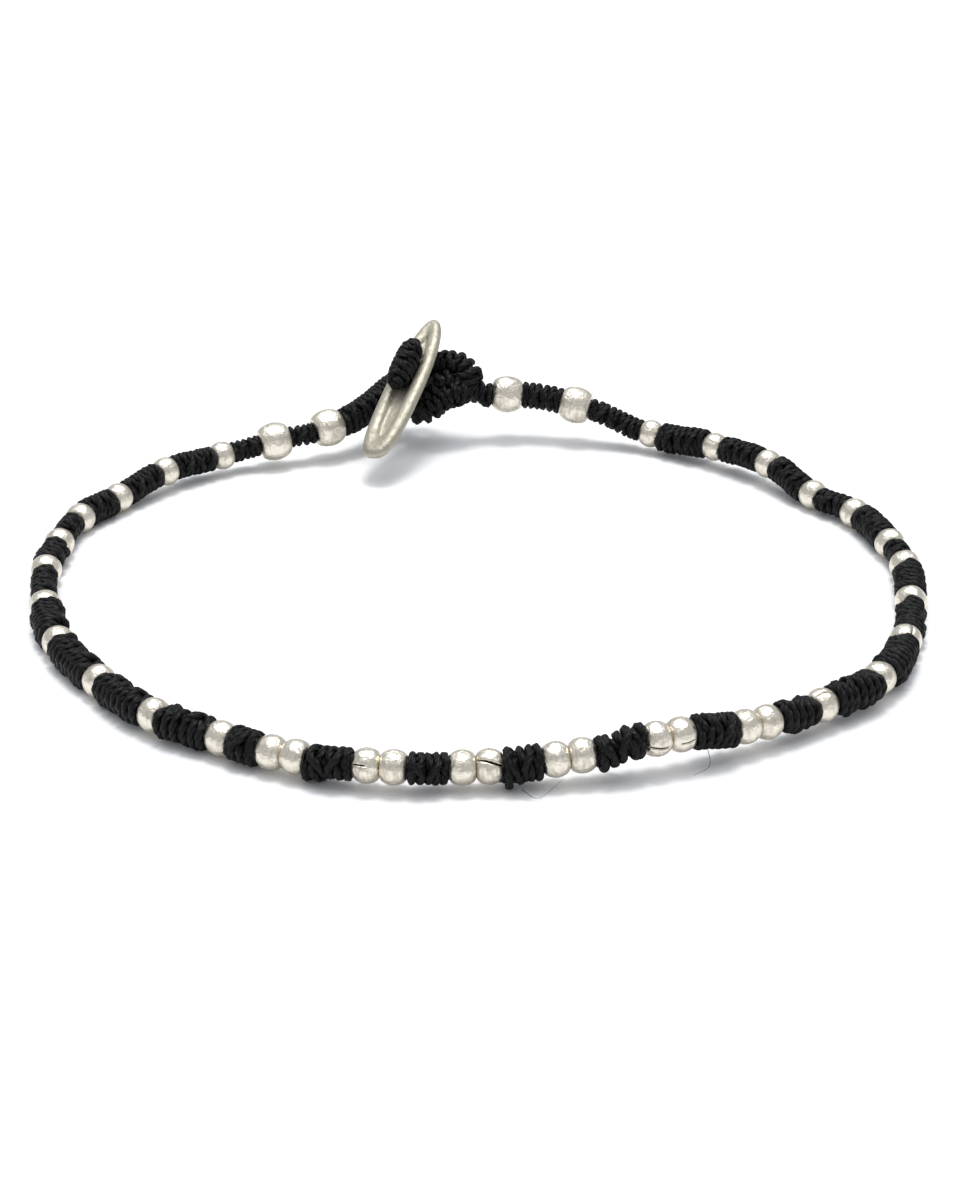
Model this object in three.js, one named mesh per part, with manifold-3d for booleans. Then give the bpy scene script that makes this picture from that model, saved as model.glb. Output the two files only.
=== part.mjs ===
// A beaded bracelet, closed and lying on a flat surface: silver barrel beads strung on a
// waxed-cord core, with knotted cord between them, and an oval silver button that holds in
// a knotted eye. Millimetres, +Z up, and the surface is z = 0. The sizes below are laid out
// round the loop's centre, with the clasp at +Y and the pairs of beads at -Y. At the end the
// whole is moved a little, so that the origin is the middle of its outer box.
import * as THREE from 'three';
import { mergeVertices } from 'three/addons/utils/BufferGeometryUtils.js';
import Module from 'manifold-3d';

const wasm = await Module();
wasm.setup();

// ---- Driving dimensions ----

const GAP = 0.12; // clearance between a bead and its neighbour
const CORE_RADIUS = 0.36; // thread core through the beads
const CORD_SIDES = 8;
const TOUCH = 1.05; // height of the strand's axis where it lies on the surface

// Beads: a barrel with flat drilled ends.
const BEADS = {
  large: { length: 2.25, radius: 1.4, endRadius: 0.92, bore: 0.55, sides: 12 },
  small: { length: 1.42, radius: 1.03, endRadius: 0.7, bore: 0.5, sides: 10 },
};

// The loop, clockwise from the clasp as seen from above: one row for each bead or pair of
// beads. angle is in degrees from +X; radius and height place the strand's axis; knot is the
// width of the knotted section that follows; lump is how far its fat end hangs out below.
const ROWS = [
  { angle: 85.2, radius: 27.6, height: 3.6, bead: 'large', count: 1, knot: 2.1 },
  { angle: 74.2, radius: 27.75, height: 3.0, bead: 'large', count: 1, knot: 1.8 },
  { angle: 61.8, radius: 27.95, height: 1.45, bead: 'small', count: 1, knot: 2.3 },
  { angle: 50.4, radius: 27.9, height: 1.6, bead: 'small', count: 1, knot: 2.05 },
  { angle: 39.7, radius: 27.75, height: 1.7, bead: 'small', count: 1, knot: 2.05 },
  { angle: 28.8, radius: 27.5, height: 1.1, bead: 'small', count: 1, knot: 1.8 },
  { angle: 20.5, radius: 28.4, height: TOUCH, bead: 'small', count: 1, knot: 2.1 },
  { angle: 9, radius: 28.6, height: TOUCH, bead: 'small', count: 1, knot: 1.75 },
  { angle: 1.5, radius: 28.7, height: TOUCH, bead: 'small', count: 1, knot: 2.15 },
  { angle: -10, radius: 28.6, height: TOUCH, bead: 'small', count: 1, knot: 1.9 },
  { angle: -22, radius: 29.0, height: TOUCH, bead: 'small', count: 1, knot: 2.2 },
  { angle: -34.8, radius: 29.6, height: 1.4, bead: 'small', count: 1, knot: 2.2 },
  { angle: -45.3, radius: 28.95, height: 1.45, bead: 'small', count: 1, knot: 1.95 },
  { angle: -55.3, radius: 28.45, height: 1.65, bead: 'small', count: 2, knot: 2.0 },
  { angle: -67.1, radius: 28.1, height: 2.15, bead: 'small', count: 2, knot: 1.8 },
  { angle: -79.2, radius: 27.9, height: 1.65, bead: 'small', count: 2, knot: 1.9, lump: 0.5 },
  { angle: -90, radius: 28.0, height: 1.35, bead: 'small', count: 2, knot: 1.7 },
  { angle: -100.8, radius: 28.6, height: 1.45, bead: 'small', count: 2, knot: 1.7, lump: 0.4 },
  { angle: -112.5, radius: 28.5, height: 1.25, bead: 'small', count: 2, knot: 2.1 },
  { angle: -121.3, radius: 28.25, height: 1.15, bead: 'small', count: 1, knot: 2.2 },
  { angle: -131.4, radius: 28.55, height: 1.25, bead: 'small', count: 1, knot: 2.15 },
  { angle: -144, radius: 28.2, height: TOUCH, bead: 'small', count: 1, knot: 2.2 },
  { angle: -157, radius: 28.4, height: TOUCH, bead: 'small', count: 1, knot: 2.2 },
  { angle: -168.5, radius: 28.4, height: TOUCH, bead: 'small', count: 1, knot: 1.8 },
  { angle: -180, radius: 28.7, height: TOUCH, bead: 'small', count: 1, knot: 1.95 },
  { angle: -189, radius: 28.9, height: TOUCH, bead: 'small', count: 1, knot: 1.75 },
  { angle: -198, radius: 29.2, height: TOUCH, bead: 'small', count: 1, knot: 2.1 },
  { angle: -206.3, radius: 28.55, height: 1.1, bead: 'small', count: 1, knot: 1.95 },
  { angle: -216.4, radius: 28.2, height: 1.5, bead: 'small', count: 1, knot: 1.95 },
  { angle: -226.7, radius: 27.55, height: 1.45, bead: 'small', count: 1, knot: 1.65 },
  { angle: -235.1, radius: 26.45, height: 1.95, bead: 'large', count: 1, knot: 1.65 },
  { angle: -244.2, radius: 25.8, height: 2.45, bead: 'large', count: 1, knot: 2.25 },
];

// The strand's two ends at the clasp, as points of its axis: the right one stops short at the
// eye, and the left one runs round behind the button.
const RIGHT_END = { point: [0.5, 27.0, 3.65], width: 1.9, length: 0.55 };
const LEFT_END = [[-9.8, 24.45, 2.75], [-8.45, 26.25, 3.3], [-6.9, 28.4, 3.75], [-5.3, 29.7, 4.0]];

// The eye: two legs of knotted cord that leave a short stem at the right strand's end, run
// above and below the neck and meet at the far left. The throat closes it on the right.
const EYE = {
  cordRadius: 0.93,
  stemLength: 0.9,
  upper: [[-0.65, 27.0, 4.1], [-0.7, 27.2, 5.1], [-1.35, 27.7, 5.75], [-3.0, 28.25, 5.72],
    [-4.3, 27.9, 5.0], [-4.9, 27.0, 3.8]],
  lower: [[-0.65, 26.9, 3.8], [-1.6, 26.3, 4.15], [-2.7, 25.95, 3.65], [-3.8, 25.5, 2.95],
    [-4.6, 25.8, 2.8], [-4.9, 27.0, 3.8]],
  throat: [[-0.6, 27.0, 4.0], [-1.5, 27.0, 4.5], [-2.3, 26.95, 4.8]],
  throatRadius: 0.85,
};

// The button: a slim oval with a narrow dish in its broad rim, blunt at its lower tip and finer
// at its upper one. The rim is wider by tip at both ends. It hangs in the air, its lower tip
// towards the front and its face up and left.
const BUTTON = {
  length: 14.5, width: 3.35, thickness: 1.05, rim: 0.92, tip: 1.0, recess: 0.45, bluntness: 3,
  point: 2,
};
const BUTTON_PLACE = {
  centre: [-5.37, 23.87, 5.35], long: [4.46, 12.25, 6.4], face: [-0.392, -0.31, 0.866],
};
const HOLE = { radius: 0.48, places: [0.75, 2.35] };

// The stitch: a fat knot on the button's face, two legs through the holes, a bar behind the
// button and a neck that runs through the eye to the left strand's end.
const STITCH = { knotRadius: 1.0, knotLength: 4.7, knotPlace: 1.42, legRadius: 0.35 };
const NECK = {
  radius: 0.43,
  points: [[-3.55, 26.2, 5.05], [-3.25, 27.05, 4.5], [-3.1, 28.4, 4.0], [-3.7, 29.7, 4.0],
    [-4.5, 30.05, 4.05], [-5.1, 29.84, 4.03]],
};

// ---- Materials ----

const silver = new THREE.MeshStandardMaterial({ color: 0xd9d5cc, roughness: 0.3, metalness: 1 });
const waxedCord = new THREE.MeshStandardMaterial({ color: 0x1c1c1f, roughness: 0.7, metalness: 0 });

// ---- Meshes and solids ----

// A closed body through rings of equally many points, capped at both ends.
function loft(rings) {
  const sides = rings[0].length;
  const positions = rings.flat().flatMap((p) => [p.x, p.y, p.z]);
  const triangles = [];
  for (let i = 0; i < rings.length - 1; i += 1) {
    const here = i * sides;
    const next = here + sides;
    for (let k = 0; k < sides; k += 1) {
      const k1 = (k + 1) % sides;
      triangles.push(here + k, here + k1, next + k1, here + k, next + k1, next + k);
    }
  }
  const last = (rings.length - 1) * sides;
  for (let k = 1; k < sides - 1; k += 1) {
    triangles.push(0, k + 1, k, last, last + k, last + k + 1);
  }
  const geometry = new THREE.BufferGeometry();
  geometry.setAttribute('position', new THREE.Float32BufferAttribute(positions, 3));
  geometry.setIndex(triangles);
  return geometry;
}

function toSolid(geometry) {
  const bare = geometry.clone();
  bare.deleteAttribute('normal');
  bare.deleteAttribute('uv');
  const merged = mergeVertices(bare, 1e-5);
  const vertProperties = new Float32Array(merged.attributes.position.array);
  const triVerts = new Uint32Array(merged.index.array);
  return new wasm.Manifold(new wasm.Mesh({ numProp: 3, vertProperties, triVerts }));
}

function fromSolid(solid) {
  const { vertProperties, triVerts } = solid.getMesh();
  const geometry = new THREE.BufferGeometry();
  geometry.setAttribute('position', new THREE.Float32BufferAttribute(vertProperties, 3));
  geometry.setIndex(new THREE.Uint32BufferAttribute(triVerts, 1));
  return geometry;
}

const toVector = ([x, y, z]) => new THREE.Vector3(x, y, z);

function makeMesh(name, geometry, material) {
  const mesh = new THREE.Mesh(geometry, material);
  mesh.name = name;
  return mesh;
}

// A ring of points across an axis, with a flat side facing down, and flattened where the
// cord would sink into the surface.
function crossRing(centre, tangent, radius, sides = CORD_SIDES) {
  const side = new THREE.Vector3().crossVectors(new THREE.Vector3(0, 0, 1), tangent).normalize();
  const up = new THREE.Vector3().crossVectors(tangent, side).normalize();
  const corner = radius / Math.cos(Math.PI / sides);
  return Array.from({ length: sides }, (_, k) => {
    const turn = ((k + 0.5) * 2 * Math.PI) / sides;
    const point = centre.clone();
    point.addScaledVector(side, corner * Math.sin(turn));
    point.addScaledVector(up, -corner * Math.cos(turn));
    point.z = Math.max(point.z, 0);
    return point;
  });
}

// ---- The strand: beads, core and knots ----

function polarPoint(angle, radius, height) {
  const turn = THREE.MathUtils.degToRad(angle);
  return new THREE.Vector3(radius * Math.cos(turn), radius * Math.sin(turn), height);
}

// The strand's axis runs through the clasp ends and the middle of each row's beads.
const rowCentres = ROWS.map((row) => polarPoint(row.angle, row.radius, row.height));
const axisPoints = [toVector(RIGHT_END.point), ...rowCentres, ...LEFT_END.map(toVector)];
const axis = new THREE.CatmullRomCurve3(axisPoints, false, 'centripetal');

// Each bead's size, centre and direction, in order round the loop.
function placeBeads() {
  const beads = [];
  ROWS.forEach((row, i) => {
    const u = (i + 1) / (axisPoints.length - 1);
    const direction = axis.getTangent(u);
    const size = BEADS[row.bead];
    const pitch = size.length + GAP;
    for (let k = 0; k < row.count; k += 1) {
      const offset = (k - (row.count - 1) / 2) * pitch;
      const centre = rowCentres[i].clone().addScaledVector(direction, offset);
      beads.push({ kind: row.bead, size, centre, direction, row });
    }
  });
  return beads;
}

function beadGeometry({ length, radius, endRadius, bore, sides }) {
  const half = length / 2;
  const shoulder = endRadius + (radius - endRadius) * 0.78;
  const profile = [
    [bore, -half], [endRadius, -half], [shoulder, -half * 0.62], [radius, -half * 0.18],
    [radius, half * 0.18], [shoulder, half * 0.62], [endRadius, half], [bore, half], [bore, -half],
  ];
  return new THREE.LatheGeometry(profile.map(([r, y]) => new THREE.Vector2(r, y)), sides);
}

function beadMeshes(beads) {
  const geometries = {
    large: beadGeometry(BEADS.large),
    small: beadGeometry(BEADS.small),
  };
  const counts = { large: 0, small: 0 };
  return beads.map(({ kind, centre, direction }) => {
    counts[kind] += 1;
    const number = String(counts[kind]).padStart(2, '0');
    const mesh = makeMesh(`${kind}_bead_${number}`, geometries[kind], silver);
    mesh.position.copy(centre);
    mesh.quaternion.setFromUnitVectors(new THREE.Vector3(0, 1, 0), direction);
    return mesh;
  });
}

// The rings of one knotted section, from the core at its start to the core at its end. Its
// radius swells and narrows over the knots, and a lump hangs out at its far end.
const KNOT_SWELL = [
  { along: 0, swell: 0.78 }, { along: 0.12, swell: 0.98 }, { along: 0.32, swell: 1.0 },
  { along: 0.5, swell: 0.97 }, { along: 0.68, swell: 1.0 }, { along: 0.88, swell: 0.98 },
  { along: 1, swell: 0.78 },
];

function knotRings(from, to, width, lump = 0) {
  const reach = from.point.distanceTo(to.point) / 3;
  const curve = new THREE.CubicBezierCurve3(
    from.point,
    from.point.clone().addScaledVector(from.direction, reach),
    to.point.clone().addScaledVector(to.direction, -reach),
    to.point,
  );
  const rings = [crossRing(from.point, from.direction, CORE_RADIUS)];
  for (const { along, swell } of KNOT_SWELL) {
    const centre = curve.getPoint(along);
    const hang = lump * Math.exp(-(((along - 0.75) / 0.2) ** 2));
    centre.z -= hang * 0.6;
    rings.push(crossRing(centre, curve.getTangent(along), (width / 2) * swell + hang * 0.5));
  }
  rings.push(crossRing(to.point, to.direction, CORE_RADIUS));
  return rings;
}

// A place just clear of a bead's end: way is 1 for the end it leads with and -1 for the other.
const faceOf = ({ centre, direction, size }, way) => ({
  point: centre.clone().addScaledVector(direction, way * (size.length / 2 + GAP)),
  direction,
});

function strandStart(firstBead) {
  const { point, direction } = faceOf(firstBead, -1);
  return { point: point.clone().addScaledVector(direction, -RIGHT_END.length), direction };
}

function cordGeometry(beads) {
  const start = strandStart(beads[0]);
  const firstFace = faceOf(beads[0], -1);
  const end = { point: axisPoints.at(-1), direction: axis.getTangent(1) };
  const rings = knotRings(start, firstFace, RIGHT_END.width).slice(2);
  beads.slice(1).forEach((bead, i) => {
    const before = beads[i];
    if (before.row !== bead.row) {
      const { knot, lump } = before.row;
      rings.push(...knotRings(faceOf(before, 1), faceOf(bead, -1), knot, lump));
    }
  });
  const last = beads.at(-1);
  rings.push(...knotRings(faceOf(last, 1), end, last.row.knot).slice(0, -1));
  return loft(rings);
}

// ---- The clasp ----

function tube(points, radius, steps) {
  const curve = new THREE.CatmullRomCurve3(points.map(toVector), false, 'centripetal');
  const { normals, binormals } = curve.computeFrenetFrames(steps);
  const rings = Array.from({ length: steps + 1 }, (_, i) => {
    const centre = curve.getPointAt(i / steps);
    return Array.from({ length: CORD_SIDES }, (__, k) => {
      const turn = (k * 2 * Math.PI) / CORD_SIDES;
      const point = centre.clone();
      point.addScaledVector(normals[i], radius * Math.cos(turn));
      point.addScaledVector(binormals[i], radius * Math.sin(turn));
      return point;
    });
  });
  return loft(rings);
}

// The button's own axes: x along it, y across it, z out of its face.
function buttonMatrix() {
  const long = toVector(BUTTON_PLACE.long).normalize();
  const across = new THREE.Vector3().crossVectors(toVector(BUTTON_PLACE.face), long).normalize();
  const face = new THREE.Vector3().crossVectors(long, across);
  return new THREE.Matrix4().makeBasis(long, across, face).setPosition(toVector(BUTTON_PLACE.centre));
}

// A ring of the button's outline, drawn in by inset, and by tip as well at its ends: an ellipse
// at its upper end and squarer at its lower one.
function ovalRing(inset, height, tip = 0, points = 32) {
  return Array.from({ length: points }, (_, k) => {
    const turn = (k * 2 * Math.PI) / points;
    const power = 2 / (Math.cos(turn) > 0 ? BUTTON.point : BUTTON.bluntness);
    const along = Math.sign(Math.cos(turn)) * Math.abs(Math.cos(turn)) ** power;
    const across = Math.sign(Math.sin(turn)) * Math.abs(Math.sin(turn)) ** power;
    const x = (BUTTON.length / 2 - inset - tip) * along;
    const y = (BUTTON.width / 2 - inset) * across;
    return new THREE.Vector3(x, y, height);
  });
}

function buttonSolid() {
  const half = BUTTON.thickness / 2;
  const floor = half - BUTTON.recess;
  const rings = [
    ovalRing(1.6, -half), ovalRing(0.45, -half * 0.8), ovalRing(0.08, -half * 0.25),
    ovalRing(0, half * 0.2), ovalRing(0.14, half * 0.8), ovalRing(0.32, half),
    ovalRing(BUTTON.rim - 0.2, half * 0.94, BUTTON.tip * 0.8),
    ovalRing(BUTTON.rim + 0.2, floor, BUTTON.tip),
  ];
  let solid = toSolid(loft(rings));
  for (const place of HOLE.places) {
    const drill = new THREE.CylinderGeometry(HOLE.radius, HOLE.radius, 4, 12);
    drill.rotateX(Math.PI / 2);
    drill.translate(place, 0, 0);
    solid = solid.subtract(toSolid(drill));
  }
  return solid;
}

// A rounded bar along the button, as a chain of rings.
function roundedBar(from, to, radius, height) {
  const half = (to - from) / 2;
  const caps = [-1, -0.92, -0.6, -0.2, 0.2, 0.6, 0.92, 1];
  const rings = caps.map((cap) => {
    const swell = Math.max(Math.sqrt(1 - cap ** 4), 0.35);
    return Array.from({ length: 10 }, (_, k) => {
      const turn = ((k + 0.5) * 2 * Math.PI) / 10;
      const y = radius * swell * Math.cos(turn);
      return new THREE.Vector3((from + to) / 2 + cap * half, y, height + radius * swell * Math.sin(turn));
    });
  });
  return loft(rings);
}

function stitchSolid(matrix) {
  const half = BUTTON.thickness / 2;
  const floor = half - BUTTON.recess;
  const { knotRadius, knotLength, knotPlace, legRadius } = STITCH;
  const barHeight = -half - GAP - NECK.radius;
  const knotFrom = knotPlace - knotLength / 2;
  let solid = toSolid(roundedBar(knotFrom, knotFrom + knotLength, knotRadius, floor + GAP + knotRadius));
  const [low, high] = HOLE.places;
  const bar = roundedBar(low - NECK.radius, high + NECK.radius, NECK.radius, barHeight);
  solid = solid.add(toSolid(bar));
  for (const place of HOLE.places) {
    const top = floor + GAP + knotRadius;
    const leg = new THREE.CylinderGeometry(legRadius, legRadius, top - barHeight, 8);
    leg.rotateX(Math.PI / 2);
    leg.translate(place, 0, (top + barHeight) / 2);
    solid = solid.add(toSolid(leg));
  }
  const geometry = fromSolid(solid).applyMatrix4(matrix);
  const root = new THREE.Vector3(low, 0, barHeight).applyMatrix4(matrix);
  const neck = tube([root.toArray(), ...NECK.points], NECK.radius * 0.95, 12);
  return toSolid(geometry).add(toSolid(neck));
}

function eyeSolid(start) {
  const stemEnds = [GAP, GAP + EYE.stemLength].map((back) => {
    const centre = start.point.clone().addScaledVector(start.direction, -back);
    return crossRing(centre, start.direction, RIGHT_END.width / 2);
  });
  const stem = toSolid(loft(stemEnds.reverse()));
  const upper = toSolid(tube(EYE.upper, EYE.cordRadius, 12));
  const lower = toSolid(tube(EYE.lower, EYE.cordRadius, 12));
  const throat = toSolid(tube(EYE.throat, EYE.throatRadius, 4));
  return stem.add(upper).add(lower).add(throat);
}

function claspMeshes(start) {
  const matrix = buttonMatrix();
  const buttonMesh = makeMesh('toggle_button', fromSolid(buttonSolid()), silver);
  buttonMesh.applyMatrix4(matrix);
  return [
    buttonMesh,
    makeMesh('button_stitch', fromSolid(stitchSolid(matrix)), waxedCord),
    makeMesh('closing_eye', fromSolid(eyeSolid(start)), waxedCord),
  ];
}

// ---- The bracelet ----

const beads = placeBeads();
const bracelet = new THREE.Group();
bracelet.add(...beadMeshes(beads));
bracelet.add(makeMesh('knotted_cord', cordGeometry(beads), waxedCord));
bracelet.add(...claspMeshes(strandStart(beads[0])));

const outerBox = new THREE.Box3().setFromObject(bracelet, true);
const middle = outerBox.getCenter(new THREE.Vector3());
bracelet.position.set(-middle.x, -middle.y, 0);

export default bracelet;
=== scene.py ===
"""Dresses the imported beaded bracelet: silver beads, knotted waxed cord, an oval button in a cord eye.

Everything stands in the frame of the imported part. Sizes and places are written in millimetres, and MM
turns them into metres where a mesh, a curve or a material is made. Points of the clasp are laid out
round the loop's centre, as the part's source has them, and LOOP_SHIFT moves them into the frame.
"""

import logging
import math
from dataclasses import dataclass, field
from enum import Enum

import bpy
import numpy as np
from mathutils import Matrix, Vector


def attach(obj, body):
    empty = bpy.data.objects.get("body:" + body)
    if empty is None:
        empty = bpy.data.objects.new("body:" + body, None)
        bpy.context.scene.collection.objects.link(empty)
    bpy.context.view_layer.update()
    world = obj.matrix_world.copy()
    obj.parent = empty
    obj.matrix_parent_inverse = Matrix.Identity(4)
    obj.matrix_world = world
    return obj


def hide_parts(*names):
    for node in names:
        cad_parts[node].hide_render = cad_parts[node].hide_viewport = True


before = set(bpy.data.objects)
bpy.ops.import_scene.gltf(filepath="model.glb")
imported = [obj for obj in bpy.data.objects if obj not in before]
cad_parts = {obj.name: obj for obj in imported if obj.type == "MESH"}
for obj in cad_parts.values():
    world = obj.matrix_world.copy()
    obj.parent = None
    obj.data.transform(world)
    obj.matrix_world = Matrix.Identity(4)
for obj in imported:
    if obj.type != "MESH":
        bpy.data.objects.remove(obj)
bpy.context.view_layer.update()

LOG = logging.getLogger("bracelet")
MM = 0.001
BODY = "root"
LOOP_SHIFT = Vector((-0.0053, -0.6270, 0.0))
UP = Vector((0.0, 0.0, 1.0))
PLIES = 3

Socket = bpy.types.NodeSocket
Number = Socket | float
Faces = list[list[int]]


class Slot(Enum):
    """The record's material slots."""

    SILVER = "silver"
    CORD = "waxed_cord"


class BeadKind(Enum):
    """The two stock sizes of bead, as the node names have them."""

    LARGE = "large"
    SMALL = "small"


# ---- Building blocks ----


class NodeTree:
    """A material's or a Geometry Nodes tree, filled one node at a time."""

    def __init__(self, tree: bpy.types.NodeTree) -> None:
        """Wraps a tree and empties it."""
        self.tree = tree
        self.tree.nodes.clear()

    def add(self, kind: str, inputs: dict | None = None, **settings: str) -> bpy.types.Node:
        """Adds a node.

        Args:
            kind: The node's type name.
            inputs: Its inputs, by name or number: a socket to link from, or a value.
            settings: Its properties, by name.

        Returns:
            The new node.
        """
        node = self.tree.nodes.new(kind)
        for name, value in settings.items():
            setattr(node, name, value)
        for key, value in (inputs or {}).items():
            if isinstance(value, Socket):
                self.tree.links.new(value, node.inputs[key])
            else:
                node.inputs[key].default_value = value
        return node

    def math(self, operation: str, *values: Number) -> Socket:
        """Returns the result of a Math node."""
        return self.add("ShaderNodeMath", dict(enumerate(values)), operation=operation).outputs[0]

    def plus(self, first: Number, second: Number) -> Socket:
        """Returns the sum of two values."""
        return self.math("ADD", first, second)

    def minus(self, first: Number, second: Number) -> Socket:
        """Returns the first value less the second."""
        return self.math("SUBTRACT", first, second)

    def times(self, first: Number, second: Number) -> Socket:
        """Returns the product of two values."""
        return self.math("MULTIPLY", first, second)

    def vector(self, operation: str, *values: Socket | Vector) -> Socket:
        """Returns the vector result of a Vector Math node."""
        inputs = dict(enumerate(values))
        return self.add("ShaderNodeVectorMath", inputs, operation=operation).outputs["Vector"]

    def scaled(self, vector: Socket, by: Number) -> Socket:
        """Returns a vector times a number."""
        inputs = {"Vector": vector, "Scale": by}
        return self.add("ShaderNodeVectorMath", inputs, operation="SCALE").outputs["Vector"]

    def ramp(self, value: Socket, span: tuple, to: tuple = (0.0, 1.0)) -> Socket:
        """Eases a value from one number to another.

        Args:
            value: The value.
            span: Where the easing starts and stops. The result is held beyond them.
            to: The results there.

        Returns:
            The result.
        """
        ends = {"From Min": span[0], "From Max": span[1], "To Min": to[0], "To Max": to[1]}
        node = self.add("ShaderNodeMapRange", {"Value": value, **ends}, interpolation_type="SMOOTHSTEP")
        return node.outputs[0]

    def noise(self, scale: float, detail: float, vector: Socket | None = None) -> Socket:
        """Adds a Noise Texture.

        Args:
            scale: Its scale, per metre or per unit of the vector.
            detail: Its detail.
            vector: Where it is read, if not at the Object coordinates.

        Returns:
            The noise's value.
        """
        if vector is None:
            vector = self.add("ShaderNodeTexCoord").outputs["Object"]
        inputs = {"Vector": vector, "Scale": scale, "Detail": detail}
        return self.add("ShaderNodeTexNoise", inputs).outputs["Fac"]

    def attribute(self, name: str, output: str = "Fac") -> Socket:
        """Returns an attribute that the mesh carries, as a number or, from output Vector, a vector."""
        return self.add("ShaderNodeAttribute", attribute_name=name).outputs[output]

    def mixed(self, share: Socket, first: Socket | tuple, second: Socket | tuple) -> Socket:
        """Returns the colour that lies share of the way from the first to the second."""
        inputs = {0: share, 6: first, 7: second}
        return self.add("ShaderNodeMix", inputs, data_type="RGBA").outputs[2]

    def bump(
        self, height: Socket, depth: float, normal: Socket | None = None, strength: float = 1.0
    ) -> Socket:
        """Bends the normal by a relief.

        Args:
            height: The relief's height.
            depth: How deep it is, in metres.
            normal: The normal that it bends, if not the plain surface's.
            strength: How much of it shows, from 0 to 1.

        Returns:
            The bent normal.
        """
        inputs = {"Strength": strength, "Distance": depth, "Height": height}
        if normal is not None:
            inputs["Normal"] = normal
        return self.add("ShaderNodeBump", inputs).outputs[0]

    def surface(self, inputs: dict) -> None:
        """Ends a material's tree in a Principled shader with these inputs."""
        shader = self.add("ShaderNodeBsdfPrincipled", inputs)
        self.add("ShaderNodeOutputMaterial", {"Surface": shader.outputs[0]})


def new_material(name: str) -> tuple[bpy.types.Material, NodeTree]:
    """Makes a material with an empty tree.

    Args:
        name: The material's name.

    Returns:
        The material and its tree.
    """
    material = bpy.data.materials.new(name)
    material.use_nodes = True
    return material, NodeTree(material.node_tree)


def linked(name: str, data: bpy.types.ID) -> bpy.types.Object:
    """Makes an object and links it to the scene.

    Args:
        name: The object's name.
        data: Its mesh, curve, light or camera.

    Returns:
        The object.
    """
    made = bpy.data.objects.new(name, data)
    bpy.context.scene.collection.objects.link(made)
    return made


def mesh_object(
    name: str, points: list[Vector], faces: Faces, material: bpy.types.Material
) -> bpy.types.Object:
    """Makes a smooth mesh object at the origin.

    Args:
        name: The object's name.
        points: Its vertices, in millimetres.
        faces: Its faces, as lists of vertex numbers.
        material: Its material.

    Returns:
        The object, linked to the scene.
    """
    mesh = bpy.data.meshes.new(name)
    mesh.from_pydata([p * MM for p in points], [], faces)
    mesh.validate()
    mesh.materials.append(material)
    mesh.shade_smooth()
    return linked(name, mesh)


def plain_mesh(piece: bpy.types.Object) -> bpy.types.Mesh:
    """Works out a piece's modifiers.

    Args:
        piece: The piece, which keeps its modifiers.

    Returns:
        A plain mesh of the result.
    """
    bpy.context.view_layer.update()
    graph = bpy.context.evaluated_depsgraph_get()
    return bpy.data.meshes.new_from_object(piece.evaluated_get(graph), depsgraph=graph)


def dress(piece: bpy.types.Object, slot: Slot, *nodes: str) -> None:
    """Lets a finished piece ride on the part, in place of CAD nodes.

    Args:
        piece: The piece, with its place in its mesh.
        slot: The record's material slot for its finish. Not used.
        nodes: The CAD nodes that it stands for.
    """
    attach(piece, BODY)
    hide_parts(*nodes)
    LOG.info("%s: %d faces, for %s", piece.name, len(piece.data.polygons), ", ".join(nodes) or "nothing")


def ring_faces(rings: int, sides: int, closed: bool = False) -> Faces:
    """Lists the quads between rings of points.

    Args:
        rings: How many rings there are.
        sides: How many points each has.
        closed: Whether quads join the last ring to the first too.

    Returns:
        The quads, as lists of vertex numbers.
    """
    faces = []
    for i in range(rings if closed else rings - 1):
        here = i * sides
        there = ((i + 1) % rings) * sides
        for k in range(sides):
            k1 = (k + 1) % sides
            faces.append([here + k, here + k1, there + k1, there + k])
    return faces


def bell(offset: float, spread: float) -> float:
    """Returns the height of a bell curve, 1 in its middle, at an offset from there."""
    return math.exp(-((offset / spread) ** 2))


def smooth_path(points: list[Vector], count: int) -> list[Vector]:
    """Runs a centripetal Catmull-Rom curve through points.

    Args:
        points: The points.
        count: How many places to return along the curve, spread evenly over its parameter.

    Returns:
        The places along the curve, its two ends among them.
    """
    knots = [2 * points[0] - points[1], *points, 2 * points[-1] - points[-2]]
    places = []
    for i in range(count):
        place = i / (count - 1) * (len(points) - 1)
        at = min(int(place), len(points) - 2)
        a, b, c, d = knots[at : at + 4]
        t1 = (b - a).length ** 0.5
        t2 = t1 + (c - b).length ** 0.5
        t3 = t2 + (d - c).length ** 0.5
        t = t1 + (place - at) * (t2 - t1)
        ab = a.lerp(b, t / t1)
        bc = b.lerp(c, (t - t1) / (t2 - t1))
        cd = c.lerp(d, (t - t2) / (t3 - t2))
        abc = ab.lerp(bc, t / t2)
        bcd = bc.lerp(cd, (t - t1) / (t3 - t1))
        places.append(abc.lerp(bcd, (t - t1) / (t2 - t1)))
    return places


def in_frame(*points: tuple) -> list[Vector]:
    """Moves points from round the loop's centre into the part's frame, still in millimetres."""
    return [Vector(p) + LOOP_SHIFT for p in points]


# ---- Finishes ----


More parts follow.
